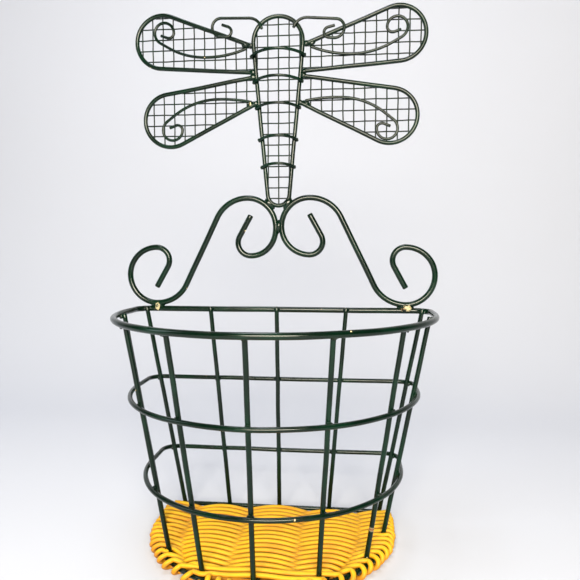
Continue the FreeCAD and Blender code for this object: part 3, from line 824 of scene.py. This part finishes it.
def paint_group():
    """Dipped paint: thick and thin places, chips down to cream primer, and rust in some of them.

    Where the tone is near 1 the paint is chipped to cream primer as a painted highlight; it rusts where the
    tone is near 0.
    """
    n, given, result = new_group(
        "Dipped paint",
        [("Vector", "Place", (0, 0, 0)), ("Float", "Tone", 0.5), ("Color", "Paint", (0, 0, 0, 1)),
         ("Color", "Thin Paint", (0, 0, 0, 1)), ("Color", "Primer", (1, 1, 1, 1)),
         ("Color", "Rust", (0.2, 0.1, 0, 1)), ("Float", "Chips", 0.5), ("Float", "Gloss", 0.2)],
        [("Color", "Colour"), ("Float", "Roughness"), ("Float", "Height")])
    place = given["Place"]
    thin = n.ramp(n.noise(place, 55, 3), 0.42, 0.66)
    paint = n.mix(thin, given["Paint"], given["Thin Paint"])
    spots = n.noise(place, 210, 3, 0.62)
    pull = n.math("MULTIPLY", n.noise(place, 24, 1), 0.16)
    level = n.math("ADD", n.math("ADD", spots, pull), n.math("MULTIPLY", given["Chips"], 0.1))
    # painted highlight: a cream chip where the tone is near 1
    highlight_chip = n.math("MULTIPLY", n.ramp(given["Tone"], 0.75, 1.0), n.ramp(spots, 0.40, 0.52))
    rust_spot = n.math("MULTIPLY", n.fall(given["Tone"], 0.0, 0.25), n.ramp(spots, 0.36, 0.46))
    chip = n.math("MAXIMUM", n.ramp(level, 0.865, 0.885), n.math("MAXIMUM", highlight_chip, rust_spot))
    halo = n.math("MULTIPLY", n.ramp(level, 0.845, 0.865), 0.5)
    rusty = n.math("MAXIMUM", n.ramp(n.noise(place, 90, 2), 0.60, 0.66), rust_spot)
    bare = n.mix(rusty, given["Primer"], given["Rust"])
    fine = n.math("MULTIPLY", n.math("SUBTRACT", n.noise(place, 900, 2), 0.5), 0.16)
    gloss = n.math("ADD", given["Gloss"], fine)
    skin = n.math("MULTIPLY", n.noise(place, 420, 2), 0.5)
    n.feed(result, {
        "Colour": n.mix(chip, n.mix(halo, paint, given["Rust"]), bare),
        "Roughness": n.math("ADD", gloss, n.math("MULTIPLY", chip, 0.45)),
        "Height": n.math("SUBTRACT", skin, n.math("MULTIPLY", chip, 0.8)),
    })


def dust_group():
    """Fine dust that settles on whatever faces up."""
    n, given, result = new_group(
        "Settled dust",
        [("Vector", "Place", (0, 0, 0)), ("Color", "Colour", (0, 0, 0, 1)),
         ("Color", "Dust", (0.4, 0.4, 0.38, 1)), ("Float", "Amount", 0.1)],
        [("Color", "Colour"), ("Float", "Cover")])
    faces_up = n.ramp(n.facing_up(), 0.35, 1.0)
    patchy = n.ramp(n.noise(given["Place"], 160, 4, 0.6), 0.40, 0.72)
    cover = n.math("MULTIPLY", n.math("MULTIPLY", faces_up, patchy), given["Amount"])
    n.feed(result, {"Colour": n.mix(cover, given["Colour"], given["Dust"]), "Cover": cover})


def colour4(values):
    return (*values, 1.0)


def new_material(name):
    """A material with the helper for its nodes and its shader."""
    material = bpy.data.materials.new(name)
    material.use_nodes = True
    return material, Nodes(material.node_tree), material.node_tree.nodes["Principled BSDF"]


def painted_material(name, chips, gloss, dust, shine):
    """Glossy green paint over steel."""
    paint = bpy.context.scene.basket_paint
    material, n, shader = new_material(name)
    place = n.add("TexCoord").outputs["Object"]
    inputs = {
        "Place": place, "Tone": n.tone(), "Chips": chips, "Gloss": gloss,
        "Paint": colour4(paint.green), "Thin Paint": colour4(paint.thin_green),
        "Primer": colour4(paint.cream), "Rust": colour4(paint.rust)}
    coat = n.add("Group", inputs, node_tree=bpy.data.node_groups["Dipped paint"]).outputs
    inputs = {"Place": place, "Colour": coat["Colour"], "Amount": dust}
    settled = n.add("Group", inputs, node_tree=bpy.data.node_groups["Settled dust"]).outputs
    n.feed(shader, {
        "Base Color": settled["Colour"],
        "Roughness": n.math("ADD", coat["Roughness"], n.math("MULTIPLY", settled["Cover"], 0.5)),
        "Normal": n.bump(coat["Height"], 0.35, 0.0002),
        "Specular IOR Level": shine,
    })
    return material


def reed_material(name):
    """Dyed reed: fibres, stains, a painted highlight on top and painted shade on sides, undersides and low
    runs.
    """
    reed = bpy.context.scene.basket_reed
    material, n, shader = new_material(name)
    coords = n.add("TexCoord").outputs
    place = coords["Object"]
    up = n.facing_up()
    fibre = n.noise(n.scaled(coords["UV"], (3.0, 22.0, 1.0)), 1.6, 4, 0.65)
    patches = n.noise(place, 38, 3, 0.55)
    streaks = n.noise(n.scaled(place, (0.25, 1.0, 1.0)), 230, 2)
    stained = n.math("ADD", n.math("MULTIPLY", streaks, 0.6), n.math("MULTIPLY", patches, 0.5))
    # painted highlight on the tops that face up, broken up along the fibres
    top_highlight = n.math("MULTIPLY", n.ramp(up, 0.45, 1.0), n.ramp(fibre, 0.30, 0.75))
    # painted shade: darker where a stretch lies low between the rows, read from the tone that follows its
    # height
    low = n.fall(n.tone(), 0.05, 0.85)
    # painted shade on the sides and on the low stretches
    side_and_low_shade = n.math("MAXIMUM", n.math("MULTIPLY", n.fall(up, 0.0, 0.75), 0.75), n.math("MULTIPLY", low, 0.9))
    # painted shade on the undersides and on the low stretches
    under = n.math("MAXIMUM", n.fall(up, -0.8, -0.1), n.math("MULTIPLY", low, 0.6))
    # painted shade under the reed, broken into patches
    patchy_under_shade = n.math("MULTIPLY", under, n.ramp(patches, 0.38, 0.62))
    colour = n.mix(n.ramp(stained, 0.53, 0.70), colour4(reed.straw), colour4(reed.amber))
    colour = n.mix(n.math("MULTIPLY", top_highlight, 0.55), colour, colour4(reed.highlight_pale))
    colour = n.mix(side_and_low_shade, colour, colour4(reed.side_and_low_shade))
    colour = n.mix(n.math("MULTIPLY", patchy_under_shade, 0.8), colour, colour4(reed.crevice_shade))
    n.feed(shader, {
        "Base Color": colour,
        "Roughness": n.math("ADD", 0.38, n.math("MULTIPLY", fibre, 0.25)),
        "Normal": n.bump(fibre, 0.5, 0.00025),
        "Specular IOR Level": 0.3,
    })
    return material


PAINTS = {              # chips, roughness, dust and shine
    "rim_paint": (0.45, 0.19, 0.05, 0.32),
    "rod_paint": (0.30, 0.20, 0.04, 0.28),
    "weld_paint": (0.75, 0.18, 0.06, 0.35),
    "mesh_paint": (0.0, 0.35, 0.04, 0.2),
}


def finish_named(name):
    """A finish by name, made the first time that it is asked for."""
    if name in bpy.data.materials:
        return bpy.data.materials[name]
    if "Dipped paint" not in bpy.data.node_groups:
        paint_group()
        dust_group()
    return painted_material(name, *PAINTS[name]) if name in PAINTS else reed_material(name)


# ---------------------------------------------------------------- operators
class BASKET_OT_stage(bpy.types.Operator):
    """Adds the floor, the lights and the camera"""

    bl_idname = "basket.stage"
    bl_label = "Stage"

    def execute(self, context):
        stage = context.scene.basket_stage
        self.add_floor(context, stage)
        self.add_lights(context, stage)
        self.add_camera(context, stage)
        return {"FINISHED"}

    def add_floor(self, context, stage):
        """Floor that curves up into a backdrop."""
        near, far, lift, wide = -2.2, 0.75, 1.6, 3.0
        radius = 0.5
        profile = [(near, 0.0), (far - radius, 0.0)]
        for degrees in range(6, 91, 6):
            angle = math.radians(degrees)
            profile.append((far - radius + radius * math.sin(angle), radius - radius * math.cos(angle)))
        profile.append((far, lift))
        points = [(x, y, z) for y, z in profile for x in (-wide, wide)]
        faces = [(2 * i, 2 * i + 1, 2 * i + 3, 2 * i + 2) for i in range(len(profile) - 1)]
        material, n, shader = new_material("studio_paper")
        cloud = n.noise(n.add("TexCoord").outputs["Object"], 3, 3)
        darker = [value * 0.96 for value in stage.floor]
        tint = n.mix(cloud, colour4(stage.floor), colour4(darker))
        n.feed(shader, {"Base Color": tint, "Roughness": 0.85, "Specular IOR Level": 0.1})
        data = bpy.data.meshes.new("studio_floor")
        data.from_pydata(points, [], faces)
        data.polygons.foreach_set("use_smooth", [True] * len(faces))
        data.materials.append(material)
        floor = bpy.data.objects.new("studio_floor", data)
        context.scene.collection.objects.link(floor)

    def add_lights(self, context, stage):
        """A faint even sky and four soft rectangles, each with its place, size, power, tint and aim."""
        world = bpy.data.worlds.new("studio_world")
        world.use_nodes = True
        sky = world.node_tree.nodes["Background"].inputs
        sky["Color"].default_value = (0.86, 0.90, 1.0, 1.0)
        sky["Strength"].default_value = 0.06
        context.scene.world = world
        context.scene.view_settings.view_transform = "Standard"
        lights = (
            ("front_card", (0.1, -0.95, 0.44), (0.60, 0.35), stage.front_light, (1.0, 0.92, 0.75),
             (0, 0, 0.14)),
            ("top_card", (-0.1, 0.0, 1.1), (0.40, 0.25), stage.top_light, (0.88, 0.94, 1.0), (0, 0, 0.13)),
            ("left_card", (-1.1, -0.3, 0.6), (0.3, 0.8), stage.left_light, (0.84, 0.92, 1.0), (0, 0, 0.13)),
            ("wall_card", (0.0, 0.1, 1.3), (1.6, 0.3), stage.wall_light, (0.93, 0.95, 1.0), (0, 0.75, 0.35)),
        )
        for name, place, size, power, tint, aim in lights:
            data = bpy.data.lights.new(name, "AREA")
            data.shape = "RECTANGLE"
            data.size, data.size_y = size
            data.energy = power
            data.color = tint
            lamp = bpy.data.objects.new(name, data)
            lamp.location = place
            lamp.rotation_euler = (Vector(aim) - Vector(place)).to_track_quat("-Z", "Y").to_euler()
            context.scene.collection.objects.link(lamp)

    def add_camera(self, context, stage):
        """Camera before the round front, a little to the right, looking slightly down."""
        place = Vector((45.6, middle_of("scroll_right").y - 352.98, 163.32))
        yaw, pitch, roll = 0.1092, -0.0702, -0.001
        forward = Vector((-math.sin(yaw) * math.cos(pitch), math.cos(yaw) * math.cos(pitch), math.sin(pitch)))
        level = Vector((math.cos(yaw), math.sin(yaw), 0))
        upright = level.cross(forward)
        right = level * math.cos(roll) + upright * math.sin(roll)
        top = upright * math.cos(roll) - level * math.sin(roll)
        data = bpy.data.cameras.new("camera")
        data.lens = stage.lens
        data.sensor_width = 36
        data.clip_start = 0.01
        camera = bpy.data.objects.new("camera", data)
        turn = Matrix((right, top, -forward)).transposed().to_4x4()
        camera.matrix_world = Matrix.Translation(place * MM) @ turn
        context.scene.collection.objects.link(camera)
        context.scene.camera = camera


class BASKET_OT_hoops(bpy.types.Operator):
    """Bends the rim and the three hoops"""

    bl_idname = "basket.hoops"
    bl_label = "Rim and hoops"

    def execute(self, context):
        cage = Cage()
        for seed, name in enumerate(LEVELS):
            line = by_hand(cage.hoop_line(name), seed, keep_ends=False)
            if name == "rim":
                painted_rod(name, line, cage.rim_rod, 16, "rim_paint", closed=True)
            else:
                painted_rod(name, line, cage.rod, 12, closed=True)
        return {"FINISHED"}


class BASKET_OT_bars(bpy.types.Operator):
    """Stands the twelve bars inside the hoops, and lays the ribs in the floor"""

    bl_idname = "basket.bars"
    bl_label = "Bars and ribs"

    def execute(self, context):
        cage = Cage()
        rusty, height, reach = cage.rust
        for seed, (name, line) in enumerate(cage.bars().items(), 20):
            tones = [0.0 if name == rusty and abs(point.z - height) < reach else 0.5 for point in line]
            painted_rod(name, by_hand(line, seed), cage.rod, 12, tone=tones)
        for name in ("floor_rib_left", "floor_rib_middle", "floor_rib_right"):
            low, high = node_box(name)
            middle = (low + high) / 2
            ends = [Vector((middle.x, depth, middle.z)) for depth in (low.y, high.y)]
            painted_rod(name, straight(*ends, 20), context.scene.basket_rods.rib_rod / MM, 10)
        return {"FINISHED"}


class BASKET_OT_floor(bpy.types.Operator):
    """Weaves the reed floor"""

    bl_idname = "basket.floor"
    bl_label = "Woven floor"

    def execute(self, context):
        weave = Weave(Cage())
        line = weave.reed_line()
        # the tone follows each stretch's height, and the reed's finish paints shade where it is low
        tones = [0.5 + 0.5 * (point.z - weave.level) / weave.lift for point in line]
        piece = Piece("woven_floor.reed")
        piece.rod(line, weave.reed, 10, tone=tones, spread=weave.spread)
        piece.finish("woven_reed", ["woven_floor"])
        return {"FINISHED"}


class BASKET_OT_scrolls(bpy.types.Operator):
    """Bends the two scrolls"""

    bl_idname = "basket.scrolls"
    bl_label = "Scrolls"

    def execute(self, context):
        dragonfly = Dragonfly()
        for seed, side in enumerate(SIDES, 50):
            line = by_hand(dragonfly.scroll(side), seed)
            painted_rod(f"scroll_{side}", line, dragonfly.rim_rod, 16, "rim_paint")
        return {"FINISHED"}


class BASKET_OT_body(bpy.types.Operator):
    """Bends the dragonfly's body, its bands and its antennae"""

    bl_idname = "basket.body"
    bl_label = "Dragonfly body"

    def execute(self, context):
        dragonfly = Dragonfly()
        line = by_hand(dragonfly.body(), 60, keep_ends=False)
        painted_rod("body_outline", line, dragonfly.rod, 14, closed=True)
        for number, drop in enumerate(dragonfly.band_drops, 1):
            line = by_hand(dragonfly.band(drop), 60 + number)
            painted_rod(f"body_band_{number}", line, dragonfly.trim, 12)
        for seed, side in enumerate(SIDES, 70):
            line = by_hand(dragonfly.placed(dragonfly.antenna(), "antenna", side), seed)
            painted_rod(f"antenna_{side}", line, dragonfly.trim, 12)
        return {"FINISHED"}


class BASKET_OT_wings(bpy.types.Operator):
    """Bends the four wings and the swirl inside each"""

    bl_idname = "basket.wings"
    bl_label = "Wings and swirls"

    def execute(self, context):
        dragonfly = Dragonfly()
        seed = 80
        for name in dragonfly.wings:
            for side in SIDES:
                seed += 2
                line = by_hand(on_side(dragonfly.wing_line(name), side), seed)
                painted_rod(f"{name}_wing_outline_{side}", line, dragonfly.rod, 14)
                line = by_hand(dragonfly.placed(dragonfly.swirl(name), f"{name}_swirl", side), seed + 1)
                painted_rod(f"{name}_swirl_{side}", line, dragonfly.trim, 12)
        return {"FINISHED"}


def crossings(outline, value, axis):
    """Where a line at value on one axis crosses a closed outline, in pairs."""
    other = 2 - axis
    found = []
    for a, b in zip(outline, outline[1:] + outline[:1]):
        if (a[axis] - value) * (b[axis] - value) < 0:
            share = (value - a[axis]) / (b[axis] - a[axis])
            found.append(a[other] + (b[other] - a[other]) * share)
    found.sort()
    return zip(found[::2], found[1::2])


def mesh_wire(axis, value, ends, plane, seed):
    """A wire that waves a little about its place on one axis."""
    low, high = ends
    spacing, reach = 1.6, 0.22
    steps = max(2, round((high - low) / spacing))
    line = []
    for n in range(steps + 1):
        along = low + (high - low) * n / steps
        wave = reach * noise.noise(Vector((value * 0.31, along * 0.16, seed * 4.1 + axis)))
        across, up = (value + wave, along) if axis == 0 else (along, value + wave)
        line.append(Vector((across, plane, up)))
    return line


class BASKET_OT_mesh(bpy.types.Operator):
    """Cuts the wire mesh to the body and the wings"""

    bl_idname = "basket.mesh"
    bl_label = "Wire mesh"

    def execute(self, context):
        dragonfly = Dragonfly()
        panels = {"body_mesh": dragonfly.body()}
        for name in dragonfly.wings:
            for side in SIDES:
                panels[f"{name}_wing_mesh_{side}"] = on_side(dragonfly.wing_line(name, inset=0.4), side)
        for seed, (name, outline) in enumerate(panels.items()):
            piece = Piece(f"{name}.wire")
            for axis in (0, 2):
                self.add_wires(piece, axis, outline, dragonfly, seed)
            piece.finish("mesh_paint", [name])
        return {"FINISHED"}

    def add_wires(self, piece, axis, outline, dragonfly, seed):
        """Adds one layer of wires; the level ones lie behind the upright ones."""
        rods = bpy.context.scene.basket_rods
        pitch = rods.mesh_pitch / MM
        thick = rods.mesh_wire / MM
        shortest = 4
        start = 0.0 if axis == 0 else dragonfly.head + dragonfly.mesh_rise
        plane = dragonfly.mesh_front + thick * (0.5 if axis == 0 else 1.35)
        places = [point[axis] for point in outline]
        first = math.ceil((min(places) - start) / pitch)
        last = math.floor((max(places) - start) / pitch)
        for number in range(first, last + 1):
            value = start + number * pitch
            for ends in crossings(outline, value, axis):
                if ends[1] - ends[0] > shortest:
                    piece.rod(mesh_wire(axis, value, ends, plane, seed), thick, 8)


BEADS = {               # half sizes of the weld metal on each part, in millimetres
    "bar": (1.75, 1.25, 1.6),
    "rim": (4.6, 2.0, 1.5),
    "rubbed_left": (1.5, 1.3, 2.3),
    "rubbed_right": (3.1, 1.3, 2.3),
    "tail": (3.9, 1.6, 2.1),
    "scroll": (1.9, 1.8, 3.8),
    "wing": (2.3, 1.55, 1.7),
    "swirl": (2.4, 1.4, 1.5),
    "band": (0.95, 1.2, 1.1),
    "antenna": (1.1, 1.0, 1.5),
}
BEAD_STRAY = 0.2        # how far a bar's bead lies off its place
FRONT_DROP = 1.1        # of a front bar's bead below the rim
HIGHLIGHT_CHIP_MOVE = Vector((0.4, -1.3, -0.6))     # from the middle of a rim bead to its front lump, painted cream as a highlight
WING_BEAD = 1.9         # of a bead along the rod from the wing's root
SWIRL_BEAD = 5.2
ANTENNA_MOVE = BACKWARD * 0.4


class BASKET_OT_welds(bpy.types.Operator):
    """Runs weld metal where rods meet"""

    bl_idname = "basket.welds"
    bl_label = "Weld metal"

    def execute(self, context):
        cage = Cage()
        dragonfly = Dragonfly()
        rng = random.Random(7)
        for level in LEVELS:
            self.level_welds(cage, level, rng)
        self.scroll_welds()
        self.wing_welds(dragonfly)
        self.band_welds(dragonfly)
        return {"FINISHED"}

    def level_welds(self, cage, level, rng):
        """Welds between one hoop and every bar."""
        piece = Piece(f"{level}.welds")
        height = cage.heights[level]
        half, front = cage.size(height)
        wide, deep, high = BEADS["bar"]
        for number, (name, line) in enumerate(cage.bars().items()):
            bar = line[0].lerp(line[-1], (height - line[0].z) / (line[-1].z - line[0].z))
            outward = BACKWARD
            if name.startswith("front"):
                if level == "rim":
                    bar -= UP * FRONT_DROP
                outward = Vector((bar.x, bar.y - front - half, 0)).normalized()
            elif name.startswith("corner"):
                outward = Vector((math.copysign(1, bar.x), 1, 0)).normalized()
            stray = Vector([rng.uniform(-BEAD_STRAY, BEAD_STRAY) for _ in range(3)])
            centre = bar + outward * (cage.offset(level) / 2) + stray
            grow = rng.uniform(0.85, 1.15)
            sizes = (wide * grow, deep, high * grow)
            piece.lump(centre, sizes, number * 3 + len(level), axes=(outward.cross(UP), outward, UP))
        piece.finish("weld_paint")

    def scroll_welds(self):
        """Beads at the rim, the front one painted cream as a highlight, at the tail and between the scrolls.
        """
        for seed, (side, sign) in enumerate(SIDES.items()):
            centre = middle_of(f"rim_bead_{side}")
            piece = Piece(f"rim_bead_{side}.weld")
            piece.lump(centre, BEADS["rim"], seed + 30, 0.35)
            # front lump with tone 0.92: a painted highlight in primer cream
            piece.lump(centre + HIGHLIGHT_CHIP_MOVE, BEADS[f"rubbed_{side}"], seed + 34, 0.35, tone=0.92)
            piece.finish("weld_paint", [f"rim_bead_{side}"])
            slant = Vector((0.6 * sign, 0, 0.8))
            axes = (slant, BACKWARD, Vector((slant.z, 0, -slant.x)))
            piece = Piece(f"tail_bead_{side}.weld")
            piece.lump(middle_of(f"tail_bead_{side}"), BEADS["tail"], seed + 38, axes=axes)
            piece.finish("weld_paint", [f"tail_bead_{side}"])
        piece = Piece("scroll_bead.weld")
        piece.lump(middle_of("scroll_bead"), BEADS["scroll"], 44)
        piece.finish("weld_paint", ["scroll_bead"])

    def wing_welds(self, dragonfly):
        """Welds at both roots of each wing, and at the start of its swirl."""
        piece = Piece("wing_root.welds")
        seed = 50
        for name in dragonfly.wings:
            _, _, roots, touches = dragonfly.wing(name)
            for place, root, touch in zip(("upper", "lower"), roots, touches):
                along = (touch - root).normalized()
                across = Vector((along.z, 0, -along.x))
                for side in SIDES.values():
                    seed += 1
                    flip = Vector((side, 1, 1))
                    axes = [axis * flip for axis in (along, BACKWARD, across)]
                    piece.lump((root + along * WING_BEAD) * flip, BEADS["wing"], seed, axes=axes)
                    if place == name:
                        start = root + along * SWIRL_BEAD + (across if place == "upper" else -across)
                        piece.lump(start * flip, BEADS["swirl"], seed + 20, axes=axes)
        piece.finish("weld_paint")

    def band_welds(self, dragonfly):
        """Welds at the ends of the bands and at the feet of the antennae."""
        piece = Piece("body_band.welds")
        seed = 58
        for drop in dragonfly.band_drops:
            line = dragonfly.band(drop)
            for end in (line[0], line[-1]):
                seed += 1
                piece.lump(end, BEADS["band"], seed, 0.35)
        foot = dragonfly.antenna()[2] + ANTENNA_MOVE
        for side in SIDES.values():
            piece.lump(foot * Vector((side, 1, 1)), BEADS["antenna"], 90 + side)
        piece.finish("weld_paint")


STEPS = (
    BASKET_OT_stage, BASKET_OT_hoops, BASKET_OT_bars, BASKET_OT_floor, BASKET_OT_scrolls,
    BASKET_OT_body, BASKET_OT_wings, BASKET_OT_mesh, BASKET_OT_welds)
GROUPS = {
    "basket_rods": BasketRods, "basket_reed": BasketReed,
    "basket_paint": BasketPaint, "basket_stage": BasketStage}


class BASKET_PT_sidebar(bpy.types.Panel):
    """Sizes, colours and steps of the egg basket"""

    bl_label = "Egg basket"
    bl_idname = "BASKET_PT_sidebar"
    bl_space_type = "VIEW_3D"
    bl_region_type = "UI"
    bl_category = "Egg Basket"

    def draw(self, context):
        for name, group in GROUPS.items():
            box = self.layout.box()
            for field in group.__annotations__:
                box.prop(getattr(context.scene, name), field)
        for step in STEPS:
            self.layout.operator(step.bl_idname)


def register():
    for group in GROUPS.values():
        bpy.utils.register_class(group)
    for name, group in GROUPS.items():
        setattr(bpy.types.Scene, name, PointerProperty(type=group))
    for step in (*STEPS, BASKET_PT_sidebar):
        bpy.utils.register_class(step)


def unregister():
    for step in (BASKET_PT_sidebar, *reversed(STEPS)):
        bpy.utils.unregister_class(step)
    for name, group in GROUPS.items():
        delattr(bpy.types.Scene, name)
        bpy.utils.unregister_class(group)


def main():
    register()
    for step in STEPS:
        area, name = step.bl_idname.split(".")
        getattr(getattr(bpy.ops, area), name)()


if __name__ == "__main__":
    main()
